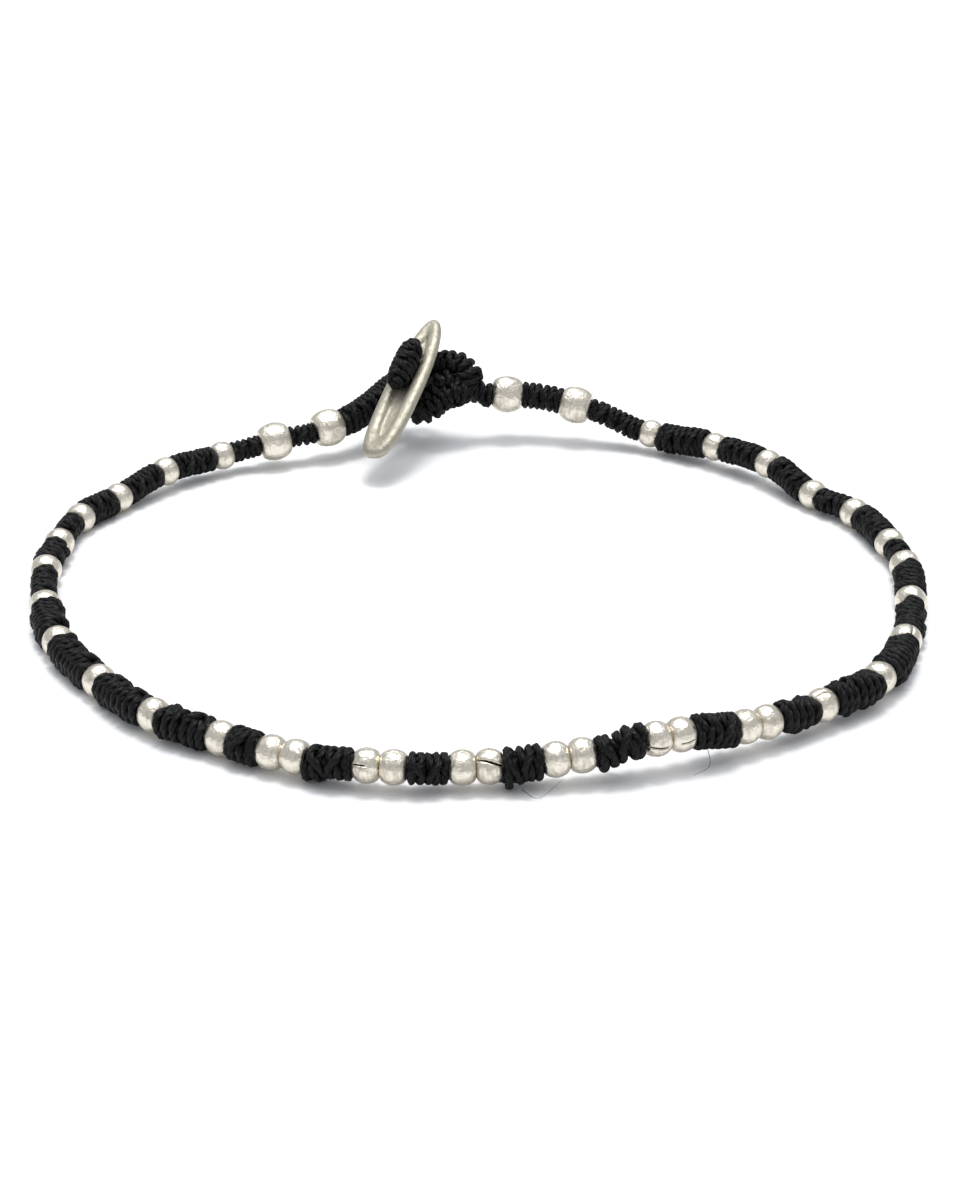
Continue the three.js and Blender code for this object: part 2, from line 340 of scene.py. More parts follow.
@dataclass(frozen=True)
class SatinSilver:
    """Sterling silver with a soft tumbled polish: shallow dents, fine scuffs and duller patches.

    A bead carries two attributes: "seam" is 1 down in its seam, whose floor is painted near black as
    painted shade in the open slit, and 0 elsewhere, and "lathe" is where the point is as its turning
    marks see it, short along the bead and long round it. Each noise is its scale, per metre, and its
    detail; the marks' scale is on "lathe".
    Each span is the stretch of a noise or an attribute over which a look comes in, and mark_roughness is
    how much the marks add to the cloud in the roughness.
    """

    name: str
    tint: tuple = (0.78, 0.73, 0.63, 1.0)
    dull: tuple = (0.54, 0.5, 0.42, 1.0)
    # The colour of an open seam's floor: painted shade, near black.
    slit_shade: tuple = (0.03, 0.024, 0.018, 1.0)
    roughness: tuple = (0.27, 0.46)
    cloud_noise: tuple = (1300.0, 4.0)
    dent_noise: tuple = (1500.0, 1.0)
    chip_noise: tuple = (4200.0, 2.0)
    mark_noise: tuple = (5.0, 3.0)
    scuff_noise: tuple = (11000.0, 3.0)
    dent_depth: float = 0.07 * MM
    chip_depth: float = 0.06 * MM
    mark_depth: float = 0.009 * MM
    scuff_depth: float = 0.008 * MM
    dull_span: tuple = (0.22, 0.36)
    dull_share: float = 0.75
    seam_span: tuple = (0.15, 0.6)
    rough_span: tuple = (0.6, 1.05)
    mark_roughness: float = 0.6

    def build(self) -> bpy.types.Material:
        """Builds the silver.

        Returns:
            The material.
        """
        material, tree = new_material(self.name)
        cloud = tree.noise(*self.cloud_noise)
        mark = tree.noise(*self.mark_noise, tree.attribute("lathe", "Vector"))
        patch = tree.ramp(tree.times(cloud, mark), self.dull_span, (0.0, self.dull_share))
        slit = tree.ramp(tree.attribute("seam"), self.seam_span)
        rough = tree.plus(cloud, tree.times(mark, self.mark_roughness))
        normal = tree.bump(tree.noise(*self.dent_noise), self.dent_depth)
        normal = tree.bump(tree.noise(*self.chip_noise), self.chip_depth, normal)
        normal = tree.bump(mark, self.mark_depth, normal)
        normal = tree.bump(tree.noise(*self.scuff_noise), self.scuff_depth, normal)
        tree.surface(
            {
                # The seam's floor is painted near black, as painted shade in the open slit.
                "Base Color": tree.mixed(slit, tree.mixed(patch, self.tint, self.dull), self.slit_shade),
                "Metallic": 1.0,
                "Roughness": tree.ramp(rough, self.rough_span, self.roughness),
                "Normal": normal,
            }
        )
        return material


@dataclass(frozen=True)
class WaxedCord:
    """Black waxed polyester cord, three plies twisted together, with a low waxy sheen.

    The cord's surface carries two attributes: "ring", the direction round the cord, which turns with the
    plies, and "run", the distance along it in millimetres. fibres are the strands of a ply that show, and
    fibre_lay is the length in which they shift by one ply. Below 1, ply_roundness makes a ply flatter on
    top. Each noise is its scale, per metre, and its detail, and each span is the stretch of a noise over
    which a look comes in. speck_roughness and speck_height are what the specks add to the patches and to
    the fibres.
    """

    name: str = "waxed_cord"
    tint: tuple = (0.0035, 0.0035, 0.004, 1.0)
    # A lighter grey that the plies' crests take in random patches.
    crest_grey: tuple = (0.014, 0.014, 0.0145, 1.0)
    roughness: tuple = (0.24, 0.56)
    sheen: float = 0.19
    patch_noise: tuple = (1500.0, 3.0)
    speck_noise: tuple = (14000.0, 2.0)
    ply_depth: float = 0.06 * MM
    ply_roundness: float = 0.6
    fibres: int = 5
    fibre_lay: float = 0.9
    fibre_depth: float = 0.016 * MM
    fibre_strength: float = 0.6
    crest_span: tuple = (0.45, 0.75)
    crest_share: tuple = (0.1, 0.8)
    rough_span: tuple = (0.4, 0.95)
    speck_roughness: float = 0.4
    speck_height: float = 1.5

    def build(self) -> bpy.types.Material:
        """Builds the waxed cord's finish.

        Returns:
            The material.
        """
        material, tree = new_material(self.name)
        ring = tree.add("ShaderNodeSeparateXYZ", {0: tree.attribute("ring", "Vector")}).outputs
        phase = tree.times(tree.math("ARCTAN2", ring[1], ring[0]), PLIES)
        ply = tree.math("ABSOLUTE", tree.math("COSINE", tree.times(phase, 0.5)))
        ply = tree.math("POWER", ply, self.ply_roundness)
        slant = tree.times(tree.attribute("run"), 2 * math.pi / self.fibre_lay)
        fibre = tree.math("SINE", tree.times(tree.plus(phase, slant), self.fibres))
        patch = tree.noise(*self.patch_noise)
        speck = tree.noise(*self.speck_noise)
        # The plies' crests go lighter grey in random patches.
        crest_grey = tree.times(tree.ramp(patch, self.crest_span, self.crest_share), ply)
        rough = tree.plus(patch, tree.times(speck, self.speck_roughness))
        height = tree.plus(fibre, tree.times(speck, self.speck_height))
        plies = tree.bump(ply, self.ply_depth)
        tree.surface(
            {
                "Base Color": tree.mixed(crest_grey, self.tint, self.crest_grey),
                "Roughness": tree.ramp(rough, self.rough_span, self.roughness),
                "Specular IOR Level": self.sheen,
                "Normal": tree.bump(height, self.fibre_depth, plies, self.fibre_strength),
            }
        )
        return material


@dataclass(frozen=True)
class PaleFloor:
    """A plain matt white sheet, with a faint grain in its roughness."""

    name: str = "pale_floor"
    tint: tuple = (0.9, 0.9, 0.905, 1.0)
    grain_noise: tuple = (400.0, 2.0)
    grain_span: tuple = (0.3, 0.7)
    roughness: tuple = (0.9, 1.0)

    def build(self) -> bpy.types.Material:
        """Builds the sheet's finish.

        Returns:
            The material.
        """
        material, tree = new_material(self.name)
        grain = tree.ramp(tree.noise(*self.grain_noise), self.grain_span, self.roughness)
        tree.surface({"Base Color": self.tint, "Roughness": grain})
        return material


# ---- Cord work ----


class CordTree:
    """A Geometry Nodes tree that sweeps cord along an axis curve.

    The cord has sides points round it and PLIES low lobes, which go once round it in lay_length.
    """

    sides: int = 12
    lobe_height: float = 0.1
    lay_length: float = 1.7 * MM

    def __init__(self, name: str, sockets: dict[str, str]) -> None:
        """Makes the tree with its inputs.

        Args:
            name: The tree's name.
            sockets: The type of each named input.
        """
        self.group = bpy.data.node_groups.new(name, "GeometryNodeTree")
        interface = self.group.interface
        interface.new_socket("Geometry", in_out="OUTPUT", socket_type="NodeSocketGeometry")
        interface.new_socket("Axis", in_out="INPUT", socket_type="NodeSocketGeometry")
        self.identifiers = {}
        for label, kind in sockets.items():
            socket = interface.new_socket(label, in_out="INPUT", socket_type=kind)
            self.identifiers[label] = socket.identifier
        self.nodes = NodeTree(self.group)
        self.inputs = self.nodes.add("NodeGroupInput").outputs

    def _store(self, geometry: Socket, name: str, value: Socket, kind: str) -> Socket:
        """Returns a geometry with an attribute added to it."""
        inputs = {"Geometry": geometry, "Name": name, "Value": value}
        return self.nodes.add("GeometryNodeStoreNamedAttribute", inputs, data_type=kind).outputs[0]

    def sweep(self, rail: Socket, radius: Socket) -> Socket:
        """Sweeps a round cord along a rail, with the attributes that the cord's material reads.

        Args:
            rail: The curve that the cord follows.
            radius: The cord's radius.

        Returns:
            The cord's mesh.
        """
        n = self.nodes
        circle = n.add("GeometryNodeCurvePrimitiveCircle", {"Resolution": self.sides, "Radius": 1.0})
        here = n.add("GeometryNodeInputPosition").outputs[0]
        ring = self._store(circle.outputs["Curve"], "ring", here, "FLOAT_VECTOR")
        turn = n.times(n.add("GeometryNodeInputIndex").outputs[0], 2 * math.pi * PLIES / self.sides)
        lobe = n.plus(n.times(n.math("COSINE", turn), self.lobe_height), 1 - self.lobe_height)
        plied = n.add("GeometryNodeSetPosition", {"Geometry": ring, "Position": n.scaled(here, lobe)})
        along = n.add("GeometryNodeSplineParameter").outputs["Length"]
        twist = n.times(along, 2 * math.pi / self.lay_length)
        twisted = n.add("GeometryNodeSetCurveTilt", {"Curve": rail, "Tilt": twist})
        run = self._store(twisted.outputs[0], "run", n.times(along, 1 / MM), "FLOAT")
        inputs = {"Curve": run, "Profile Curve": plied.outputs[0], "Scale": radius, "Fill Caps": True}
        return n.add("GeometryNodeCurveToMesh", inputs).outputs[0]

    def close(self, *meshes: Socket) -> None:
        """Ends the tree: joins meshes, smooths and realizes them, and gives them the cord material.

        Args:
            meshes: The meshes.
        """
        n = self.nodes
        join = n.add("GeometryNodeJoinGeometry")
        for mesh in reversed(meshes):
            n.tree.links.new(mesh, join.inputs[0])
        smooth = n.add("GeometryNodeSetShadeSmooth", {"Geometry": join.outputs[0]})
        real = n.add("GeometryNodeRealizeInstances", {"Geometry": smooth.outputs[0]})
        inputs = {"Geometry": real.outputs[0], "Material": self.inputs["Material"]}
        finish = n.add("GeometryNodeSetMaterial", inputs)
        n.add("NodeGroupOutput", {0: finish.outputs[0]})

    def run(self, name: str, points: list[Vector], radii: list[float], values: dict) -> bpy.types.Object:
        """Runs the tree along an axis and keeps the result as a plain mesh.

        Args:
            name: The new piece's name.
            points: The axis, in millimetres.
            radii: The outer radius at each point of it, in millimetres.
            values: The tree's inputs, by name.

        Returns:
            The piece, linked to the scene.
        """
        curve = bpy.data.curves.new(name + "_axis", "CURVE")
        curve.dimensions = "3D"
        spline = curve.splines.new("POLY")
        spline.points.add(len(points) - 1)
        for point, place, radius in zip(spline.points, points, radii):
            point.co = (*(place * MM), 1.0)
            point.radius = radius * MM
        carrier = linked(name + "_axis", curve)
        modifier = carrier.modifiers.new("cord", "NODES")
        modifier.node_group = self.group
        for label, value in values.items():
            modifier[self.identifiers[label]] = value
        mesh = plain_mesh(carrier)
        mesh.name = name
        bpy.data.objects.remove(carrier)
        bpy.data.curves.remove(curve)
        return linked(name, mesh)


class PlainCord(CordTree):
    """A length of cord along a smooth path."""

    def __init__(self, material: bpy.types.Material) -> None:
        """Builds the tree.

        Args:
            material: The cord's finish.
        """
        super().__init__("plain_cord", {"Material": "NodeSocketMaterial"})
        self.material = material
        radius = self.nodes.add("GeometryNodeInputRadius").outputs[0]
        self.close(self.sweep(self.inputs["Axis"], radius))

    def lay(self, name: str, points: list[Vector], radii: list[float]) -> bpy.types.Object:
        """Returns a length of cord through points, both in millimetres."""
        return self.run(name, points, radii, {"Material": self.material})


@dataclass(frozen=True)
class Hitch:
    """How knots are tied.

    cord is the cord's radius and pitch the distance between wraps, which is fitted to the length, in
    millimetres. rise is how far the upper cord stands up at a ridge, in cord radii, and drift how far the
    ridges turn round the axis at each wrap, in radians.
    """

    cord: float = 0.275
    pitch: float = 0.53
    rise: float = 0.65
    drift: float = 0.05


class HitchedCord(CordTree):
    """Two cords tied round a core: wraps square to the axis, which cross over each other at two ridges.

    Each cord goes half a turn between crossings, one to the left and one to the right, and at each ridge
    the two take it in turns to lie on top. steps points make a half turn. crossing, climb and descent are
    parts of the half turn that has a ridge in its middle: where a cord moves one pitch on, rises to the
    ridge and falls from it. lower is the under cord's rise at a ridge as a part of the upper one's.
    pitch_jitter is in pitches, and ridge_jitter, end_margin, floor_margin and core_inset are in cord
    radii: how uneven the cord's place is, how far it keeps from the axis's ends and above the surface,
    and how far inside the wraps the core stays. Over tuck_length half turns at each end, a cord draws in
    to tuck_share of its distance out.
    """

    sockets: dict = {
        "Wraps": "NodeSocketInt",
        "Cord Radius": "NodeSocketFloat",
        "Start Turn": "NodeSocketFloat",
        "Drift": "NodeSocketFloat",
        "Rise": "NodeSocketFloat",
        "Seed": "NodeSocketInt",
        "Material": "NodeSocketMaterial",
    }
    steps: int = 22
    crossing: tuple = (0.33, 0.67)
    climb: tuple = (0.2, 0.44)
    descent: tuple = (0.56, 0.8)
    lower: float = -0.2
    pitch_jitter: float = 0.13
    pitch_seeds: tuple = (0, 31)
    ridge_jitter: float = 0.2
    ridge_seeds: tuple = (7, 8)
    end_margin: float = 0.85
    floor_margin: float = 0.92
    core_inset: float = 0.95
    tuck_length: float = 0.3
    tuck_share: float = 0.45

    def __init__(self, material: bpy.types.Material) -> None:
        """Builds the tree.

        Args:
            material: The cord's finish.
        """
        super().__init__("hitched_cord", self.sockets)
        self.material = material
        cord = self.inputs["Cord Radius"]
        left = self.sweep(self._path(1, 0), cord)
        right = self.sweep(self._path(-1, 1), cord)
        self.close(self._core(), left, right)

    def _random(self, number: Socket, shift: int, spread: float) -> Socket:
        """Draws a random number for each wrap.

        Args:
            number: The wrap's number.
            shift: What is added to the seed, so that one wrap can have several draws.
            spread: The number is from minus to plus this.

        Returns:
            The random number.
        """
        seed = self.nodes.plus(self.inputs["Seed"], shift)
        inputs = {2: -spread, 3: spread, "ID": number, "Seed": seed}
        return self.nodes.add("FunctionNodeRandomValue", inputs, data_type="FLOAT").outputs[1]

    def _along(self, ridge: Socket, phase: Socket, parity: int) -> Socket:
        """Works out how far along the axis a cord is: level between ridges, and one pitch on at each.

        Args:
            ridge: The number of the nearest ridge.
            phase: How far it is through the half turn that has the ridge in its middle, from 0 to 1.
            parity: Which of the two cords it is, 0 or 1.

        Returns:
            The distance along the axis.
        """
        n = self.nodes
        cord = self.inputs["Cord Radius"]
        cross = n.ramp(phase, self.crossing)
        before = n.minus(ridge, 1.0)
        seed = self.pitch_seeds[parity]
        shifts = [self._random(wrap, seed, self.pitch_jitter) for wrap in (before, ridge)]
        jitter = n.add("ShaderNodeMix", {0: cross, 2: shifts[0], 3: shifts[1]}, data_type="FLOAT")
        along = n.plus(n.plus(before, cross), jitter.outputs[0])
        length = n.add("GeometryNodeCurveLength", {0: self.inputs["Axis"]}).outputs[0]
        gaps = n.math("MAXIMUM", n.minus(self.inputs["Wraps"], 1.0), 1.0)
        pitch = n.math("DIVIDE", n.minus(length, n.times(cord, 2.0)), gaps)
        along = n.plus(n.times(along, pitch), cord)
        edge = n.times(cord, self.end_margin)
        return n.math("MINIMUM", n.math("MAXIMUM", along, edge), n.minus(length, edge))

    def _lift(self, ridge: Socket, phase: Socket, parity: int) -> Socket:
        """Works out how far a cord stands out where it crosses the other, on top of it or under it.

        Args:
            ridge: The number of the nearest ridge.
            phase: How far it is through the half turn that has the ridge in its middle, from 0 to 1.
            parity: Which of the two cords it is, 0 or 1.

        Returns:
            The distance, below zero for inwards.
        """
        n = self.nodes
        cord = self.inputs["Cord Radius"]
        pair = n.math("FLOOR", n.times(ridge, 0.5))
        turned = n.math("MODULO", n.plus(pair, parity), 2.0)
        level = n.plus(n.times(turned, self.lower - 1.0), 1.0)
        near = n.times(n.ramp(phase, self.climb), n.ramp(phase, self.descent, (1.0, 0.0)))
        lift = n.times(n.times(near, level), n.times(self.inputs["Rise"], cord))
        bulge = n.times(self._random(ridge, self.ridge_seeds[parity], self.ridge_jitter), cord)
        return n.plus(lift, n.times(bulge, near))

    def _tuck(self, place: Socket) -> Socket:
        """Works out how far a cord is tucked in at both ends.

        Args:
            place: How many half turns it has gone.

        Returns:
            The share of its distance out that it keeps.
        """
        n = self.nodes
        span = (0.0, self.tuck_length)
        to = (self.tuck_share, 1.0)
        to_end = n.minus(self.inputs["Wraps"], place)
        return n.times(n.ramp(place, span, to), n.ramp(to_end, span, to))

    def _path(self, way: int, parity: int) -> Socket:
        """Builds the curve that one of the two cords follows, which stays above the surface.

        Args:
            way: 1 for the cord that winds to the left, -1 for the other.
            parity: Which crossings it lies on top at, 0 or 1.

        Returns:
            The curve.
        """
        n = self.nodes
        cord = self.inputs["Cord Radius"]
        count = n.plus(n.times(self.inputs["Wraps"], self.steps), 1.0)
        line = n.add("GeometryNodeMeshLine", {"Count": count})
        place = n.math("DIVIDE", n.add("GeometryNodeInputIndex").outputs[0], self.steps)
        shifted = n.plus(place, 0.5)
        ridge = n.math("FLOOR", shifted)
        phase = n.minus(shifted, ridge)
        inputs = {
            "Curves": self.inputs["Axis"],
            "Value": n.add("GeometryNodeInputRadius").outputs[0],
            "Length": self._along(ridge, phase, parity),
        }
        axis = n.add("GeometryNodeSampleCurve", inputs, mode="LENGTH", data_type="FLOAT").outputs
        radius = n.plus(n.minus(axis["Value"], cord), self._lift(ridge, phase, parity))
        radius = n.times(radius, self._tuck(place))
        turn = n.times(place, n.plus(self.inputs["Drift"], way * math.pi))
        turn = n.plus(turn, self.inputs["Start Turn"])
        side = n.vector("NORMALIZE", n.vector("CROSS_PRODUCT", axis["Tangent"], UP))
        up = n.vector("CROSS_PRODUCT", side, axis["Tangent"])
        out = n.vector("ADD", n.scaled(side, n.math("SINE", turn)), n.scaled(up, n.math("COSINE", turn)))
        spot = n.vector("ADD", axis["Position"], n.scaled(out, radius))
        split = n.add("ShaderNodeSeparateXYZ", {0: spot}).outputs
        height = n.math("MAXIMUM", split[2], n.times(cord, self.floor_margin))
        spot = n.add("ShaderNodeCombineXYZ", {0: split[0], 1: split[1], 2: height}).outputs[0]
        placed = n.add("GeometryNodeSetPosition", {"Geometry": line.outputs[0], "Position": spot})
        return n.add("GeometryNodeMeshToCurve", {0: placed.outputs[0]}).outputs[0]

    def _core(self) -> Socket:
        """Builds the strands inside the wraps, which close the view between them.

        Returns:
            The core's mesh.
        """
        n = self.nodes
        outer = n.add("GeometryNodeInputRadius").outputs[0]
        inset = n.times(self.inputs["Cord Radius"], self.core_inset)
        return self.sweep(self.inputs["Axis"], n.minus(outer, inset))

    def tie(
        self,
        name: str,
        points: list[Vector],
        radii: list[float],
        turn: float,
        seed: int,
        hitch: Hitch = Hitch(),
    ) -> bpy.types.Object:
        """Ties knots along an axis.

        Args:
            name: The new piece's name.
            points: The axis, in millimetres.
            radii: The outer radius at each point of it, in millimetres.
            turn: Where round the axis the ridge starts, in radians.
            seed: What makes this run of knots uneven in its own way.
            hitch: How the knots are tied.

        Returns:
            The piece, linked to the scene.
        """
        length = sum((b - a).length for a, b in zip(points, points[1:]))
        values = {
            "Wraps": max(2, round((length - 2 * hitch.cord) / hitch.pitch) + 1),
            "Cord Radius": hitch.cord * MM,
            "Start Turn": turn,
            "Drift": hitch.drift,
            "Rise": hitch.rise,
            "Seed": seed,
            "Material": self.material,
        }
        return self.run(name, points, radii, values)


# ---- The beads ----


@dataclass(frozen=True)
class BeadSize:
    """One stock size of barrel bead, in millimetres. The higher its fullness, the squarer its shoulders.

    The two edges of its flat end are rounded: each point is how far it is from the bore or from the
    end's rim, and how far in from the end. The barrel starts shoulder in from the end.
    """

    length: float
    radius: float
    end_radius: float
    bore: float
    fullness: float
    bore_edge: tuple = ((0.0, 0.09), (0.02, 0.03), (0.07, 0.0))
    rim_edge: tuple = ((0.05, 0.0), (0.015, 0.01))
    shoulder: float = 0.02
    steps: int = 22

    def profile(self) -> list[tuple[float, float]]:
        """Works out the bead's closed section.

        Returns:
            Its points as (radius, place along the axis), from one end of the bore outwards.
        """
        half = self.length / 2
        start = [(self.bore + out, -half + deep) for out, deep in self.bore_edge]
        start += [(self.end_radius - back, -half + deep) for back, deep in self.rim_edge]
        barrel = []
        for i in range(self.steps + 1):
            turn = math.pi * (i / self.steps - 0.5)
            rise = abs(math.cos(turn)) ** (2 / self.fullness)
            place = math.copysign(abs(math.sin(turn)) ** (2 / self.fullness), turn)
            radius = self.end_radius + (self.radius - self.end_radius) * rise
            barrel.append((radius, (half - self.shoulder) * place))
        return start + barrel + [(radius, -along) for radius, along in reversed(start)]


@dataclass(frozen=True)
class Seam:
    """The slit where the sheet that a bead is rolled from meets itself.

    turn is its place round the bead from straight up and slant its turn from one end to the other, in
    degrees. It runs from start to stop along the bead, from -1 to 1, and comes to its full depth over
    fade of that. It is wide and deep in millimetres.
    """

    turn: float
    slant: float = 0.0
    start: float = -1.0
    stop: float = 1.0
    width: float = 0.05
    depth: float = 0.2
    fade: float = 0.15

    def cut(self, along: float, size: float) -> float:
        """Returns how deep the slit is at a place along a bead of some length, as a part of depth."""
        place = 2 * along / size
        return max(0.0, min(1.0, (place - self.start) / self.fade, (self.stop - place) / self.fade))


@dataclass
class Bead:
    """A bead on the strand: where it is, which way it points, and its seam if it shows one."""

    node: str
    size: BeadSize
    centre: Vector
    direction: Vector
    seam: Seam | None = None

    def face(self, way: int) -> Vector:
        """Returns the middle of the end that it leads with, way 1, or of the other, way -1."""
        return self.centre + self.direction * (way * self.size.length / 2)

    def axes(self) -> tuple[Vector, Vector]:
        """Works out the two directions across the bead.

        Returns:
            The one that points most nearly up, and the one that points out of the loop.
        """
        up = (UP - self.direction * UP.dot(self.direction)).normalized()
        out = up.cross(self.direction).normalized()
        if out.dot(Vector((self.centre.x, self.centre.y, 0.0))) < 0:
            out = -out
        return up, out


@dataclass
class SilverBeads:
    """The 38 beads of the strand, each a drilled barrel of rolled silver sheet, some with an open seam.

    counts are the beads of each kind in order round the loop. A slit's points are how many of its widths
    they are from its middle, and how deep. columns points go round the rest of the bead, margin radians
    and more from the slit's middle. Each bead is uneven in its own way: waves are how many dents of each
    kind go round it, dent how high they are as a part of the radius, dent_turn how far round it they may
    start and skew how far they turn in a millimetre, both in radians, and taper how much wider it gets in
    a millimetre. bore_fade is how soon the slit is as deep as it gets, from the bore outwards. lathe is
    the radius of the attribute that the marks are read from, and how far it may be shifted.
    """

    sizes: dict = field(
        default_factory=lambda: {
            BeadKind.LARGE: BeadSize(2.29, 1.4, 0.88, 0.55, 1.8),
            BeadKind.SMALL: BeadSize(1.54, 1.04, 0.64, 0.5, 1.78),
        }
    )
    counts: tuple = ((BeadKind.LARGE, 2), (BeadKind.SMALL, 34), (BeadKind.LARGE, 2))
    seams: dict = field(
        default_factory=lambda: {
            "small_bead_09": Seam(20.0, 25.0),
            "small_bead_11": Seam(15.0, -20.0),
            "small_bead_14": Seam(92.0, 10.0, stop=0.5),
            "small_bead_15": Seam(98.0, -10.0, start=-0.6, width=0.07),
            "small_bead_18": Seam(48.0, -34.0, width=0.085, depth=0.3),
            "small_bead_21": Seam(64.0, -9.0, start=-0.15),
            "small_bead_27": Seam(150.0),
        }
    )
    slit: tuple = ((-1.6, 0.0), (-1.0, 0.12), (-0.6, 1.0), (0.6, 1.0), (1.0, 0.12), (1.6, 0.0))
    columns: int = 44
    margin: float = 0.25
    waves: tuple = (2, 3, 5)
    dent: float = 0.012
    dent_turn: float = 6.28
    skew: float = 1.5
    taper: float = 0.02
    bore_fade: float = 1.6
    lathe: tuple = (0.3, 50.0)
    seed: int = 11

    def read(self, node: str, kind: BeadKind) -> Bead:
        """Reads a bead's place from its CAD node.

        Args:
            node: The CAD node's name.
            kind: The bead's stock size.

        Returns:
            The bead, whose direction may still point either way.
        """
        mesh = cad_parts[node].data
        normals = np.array([p.normal for p in mesh.polygons])
        areas = np.array([p.area for p in mesh.polygons])
        middles = np.array([p.center for p in mesh.polygons])
        # Of all sets of parallel faces, the bead's two flat ends have the largest area.
        parallel = 0.9999
        alike = np.abs(normals @ normals.T) > parallel
        best = int(np.argmax(alike @ areas))
        ends = alike[best]
        centre = (middles[ends] * areas[ends, None]).sum(0) / areas[ends].sum()
        direction = Vector(normals[best]).normalized()
        return Bead(node, self.sizes[kind], Vector(centre) / MM, direction, self.seams.get(node))

    def string(self) -> list[Bead]:
        """Reads all the beads.

        Returns:
            The beads in order round the loop, from the eye to the button, each pointing on along it.
        """
        beads = []
        made = dict.fromkeys(BeadKind, 0)
        for kind, count in self.counts:
            for _ in range(count):
                made[kind] += 1
                beads.append(self.read(f"{kind.value}_bead_{made[kind]:02d}", kind))
        for i, bead in enumerate(beads):
            before = beads[max(i - 1, 0)].centre
            after = beads[min(i + 1, len(beads) - 1)].centre
            if bead.direction.dot(after - before) < 0:
                bead.direction = -bead.direction
        return beads

    def _columns(self, seam: Seam | None) -> list[tuple[float, float]]:
        """Spreads columns of points round a bead.

        Args:
            seam: Its seam, if it has one.

        Returns:
            The angle of each column from the seam, and how deep it is cut.
        """
        cut = seam or Seam(0.0, depth=0.0)
        plain = np.linspace(self.margin, 2 * math.pi - self.margin, self.columns)
        return [(a * cut.width, d * cut.depth) for a, d in self.slit] + [(a, 0.0) for a in plain]

    def make(self, bead: Bead, material: bpy.types.Material, rng: np.random.Generator) -> bpy.types.Object:
        """Makes one bead.

        Args:
            bead: Its place.
            material: Its finish.
            rng: What makes each bead slightly uneven.

        Returns:
            The bead's piece.
        """
        size = bead.size
        profile = size.profile()
        columns = self._columns(bead.seam)
        seam = bead.seam or Seam(rng.uniform(0.0, 360.0))
        up, out = bead.axes()
        dents = []
        for wave in self.waves:
            height = rng.uniform(-self.dent, self.dent)
            turn = rng.uniform(0, self.dent_turn)
            dents.append((wave, height, turn, rng.uniform(-self.skew, self.skew)))
        taper = rng.uniform(-self.taper, self.taper)
        spin, furthest = self.lathe
        shift = rng.uniform(0.0, furthest)
        points = []
        depths = []
        spins = []
        for radius, along in profile:
            outer = (radius - size.bore) / (size.radius - size.bore)
            start = math.radians(seam.turn + seam.slant * along / size.length)
            share = seam.cut(along, size.length) * min(1.0, self.bore_fade * max(outer, 0.0))
            for column, cut in columns:
                angle = start + column
                bend = sum(e * math.sin(m * angle + p + q * along) for m, e, p, q in dents) + taper * along
                reach = radius * (1 + bend * outer) - cut * share
                offset = up * math.cos(angle) + out * math.sin(angle)
                points.append(bead.centre + offset * reach + bead.direction * along)
                depths.append(share if cut > seam.depth / 2 else 0.0)
                spins += [along + shift, spin * math.cos(angle), spin * math.sin(angle)]
        faces = ring_faces(len(profile), len(columns), closed=True)
        if up.cross(out).dot(bead.direction) < 0:
            faces = [face[::-1] for face in faces]
        piece = mesh_object(bead.node.replace("_bead_", "_barrel_"), points, faces, material)
        piece.data.attributes.new("lathe", "FLOAT_VECTOR", "POINT").data.foreach_set("vector", spins)
        if bead.seam:
            piece.data.attributes.new("seam", "FLOAT", "POINT").data.foreach_set("value", depths)
        return piece

    def build(self, beads: list[Bead], material: bpy.types.Material) -> None:
        """Makes and dresses every bead.

        Args:
            beads: The beads in order round the loop.
            material: Their finish.
        """
        rng = np.random.default_rng(self.seed)
        for bead in beads:
            dress(self.make(bead, material, rng), Slot.SILVER, bead.node)


# ---- The strand ----


@dataclass(frozen=True)
class Section:
    """One knotted section: its two ends, the way that it leaves and reaches them, and its form.

    Each lump is how far along the section it is, from 0 to 1, and how far it stands up or, below zero,
    hangs down, in millimetres: lump_lift of that bends the axis, and lump_swell of it widens the section.
    end_taper and waist_depth are how much narrower it is at both ends and in the middle, as parts of its
    width, and end_length, lump_spread and waist_spread are parts of its length.
    """

    start: Vector
    leave: Vector
    end: Vector
    reach: Vector
    width: float
    lumps: tuple = ()
    lump_spread: float = 0.19
    lump_lift: float = 0.6
    lump_swell: float = 0.5
    end_taper: float = 0.07
    end_length: float = 0.08
    waist_depth: float = 0.03
    waist_spread: float = 0.12
    steps: int = 32

    def axis(self) -> tuple[list[Vector], list[float]]:
        """Works out the section's form.

        Returns:
            Points along its axis, and its outer radius at each of them.
        """
        handle = (self.end - self.start).length / 3
        a, b = self.start, self.start + self.leave * handle
        c, d = self.end - self.reach * handle, self.end
        points = []
        radii = []
        for i in range(self.steps + 1):
            t = i / self.steps
            spot = a * (1 - t) ** 3 + b * (3 * t * (1 - t) ** 2) + c * (3 * t * t * (1 - t)) + d * t**3
            swells = [rise * bell(t - place, self.lump_spread) for place, rise in self.lumps]
            ends = self.end_taper * (1 - min(1.0, min(t, 1 - t) / self.end_length))
            waist = self.waist_depth * bell(t - 0.5, self.waist_spread)
            points.append(spot + UP * (sum(swells) * self.lump_lift))
            radii.append(self.width / 2 * (1 - ends - waist) + sum(map(abs, swells)) * self.lump_swell)
        return points, radii

    def facing(self, way: Vector) -> float:
        """Finds the side of the section that looks one way.

        Args:
            way: The direction.

        Returns:
            The side's turn round the axis from straight up, in radians.
        """
        along = (self.end - self.start).normalized()
        side = along.cross(UP).normalized()
        return math.atan2(way.dot(side), way.dot(side.cross(along)))


